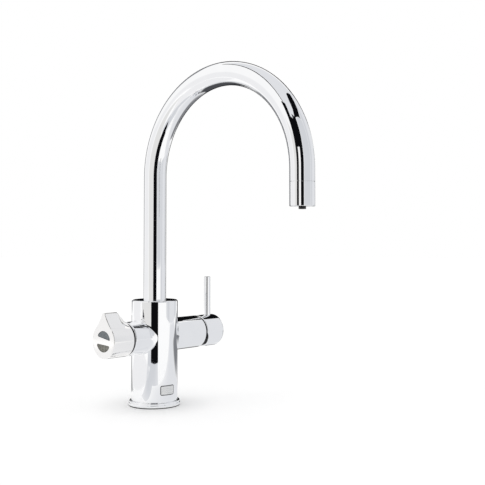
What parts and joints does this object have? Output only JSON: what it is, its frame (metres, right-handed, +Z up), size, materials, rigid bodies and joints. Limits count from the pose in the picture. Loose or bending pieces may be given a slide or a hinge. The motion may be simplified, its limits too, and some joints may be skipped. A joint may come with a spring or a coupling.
{
  "type": "boiling water tap",
  "caption": "Gooseneck kitchen tap with a swivelling spout, a teardrop boiling and chilled control knob on one arm and a single-lever mixer on the other.",
  "frame": {"origin": "centre of the underside of the foot, on the body's axis", "axes": "+Z up along the body, -Y the way the spout reaches, -X along the control arm, +X along the mixer arm"},
  "size_m": [0.1707, 0.2538, 0.3754],
  "materials": {
    "chrome": "polished",
    "steel": "satin",
    "brass": "satin",
    "copper": "satin",
    "black_plastic": "satin",
    "white_plastic": "matte",
    "upper_button_grey": "satin",
    "lower_button_grey": "satin",
    "rubber": "matte"
  },
  "bodies": {
    "tap_body": {"base_gasket": "rubber", "base_ring": "chrome", "base_insert": "brass", "cold_tail": "copper", "hot_tail": "copper", "filtered_tail": "copper", "body_shell": "chrome", "badge_plate": "steel", "valve_core": "brass", "spout_bush": "white_plastic", "spout_lock_screw": "steel", "control_arm": "chrome", "control_valve": "brass", "knob_seam_ring": "black_plastic", "knob_return_spring": "steel", "mixer_arm": "chrome", "cartridge_seal": "rubber", "mixer_cartridge": "white_plastic", "cartridge_nut": "brass", "mixer_seam_ring": "black_plastic"},
    "spout": {"spout_tube": "chrome", "spout_swivel": "brass", "spout_seal_lower": "rubber", "spout_seal_upper": "rubber", "filtered_water_tube": "white_plastic", "outlet_collar": "chrome", "aerator_insert": "black_plastic", "outlet_nozzle": "black_plastic"},
    "knob": {"control_knob": "chrome", "knob_hub": "white_plastic", "knob_grub_screw": "steel", "knob_spindle": "steel", "switch_module": "black_plastic", "switch_pad": "rubber"},
    "upper_button": {"upper_button": "upper_button_grey"},
    "lower_button": {"lower_button": "lower_button_grey"},
    "mixer_swivel": {"mixer_carrier": "white_plastic", "mixer_pivot_pin": "steel"},
    "mixer_handle": {"mixer_cap": "chrome", "mixer_cap_liner": "black_plastic", "mixer_lever": "chrome", "mixer_stem": "steel", "mixer_grub_screw": "steel"}
  },
  "joints": [
    {"name": "spout_swivel_turn", "type": "hinge", "parent": "tap_body", "child": "spout", "pos_m": [0, 0, 0.105], "axis": [0, 0, 1], "range_deg": [-60, 60]},
    {"name": "knob_turn", "type": "hinge", "parent": "tap_body", "child": "knob", "pos_m": [-0.06, 0, 0.07715], "axis": [1, 0, 0], "range_deg": [-22, 22], "stiffness_Nm_per_rad": 0.6},
    {"name": "upper_button_press", "type": "slide", "parent": "knob", "child": "upper_button", "axis": [1, 0, 0], "range_m": [0, 0.0012], "stiffness_N_per_m": 300, "springref_m": -0.0015},
    {"name": "lower_button_press", "type": "slide", "parent": "knob", "child": "lower_button", "axis": [1, 0, 0], "range_m": [0, 0.0012], "stiffness_N_per_m": 300, "springref_m": -0.0015},
    {"name": "mixer_temperature", "type": "hinge", "parent": "tap_body", "child": "mixer_swivel", "pos_m": [0.056, 0, 0.07715], "axis": [1, 0, 0], "range_deg": [-45, 45]},
    {"name": "mixer_flow", "type": "hinge", "parent": "mixer_swivel", "child": "mixer_handle", "pos_m": [0.056, 0, 0.07715], "axis": [0, 1, 0], "range_deg": [0, 18]}
  ]
}
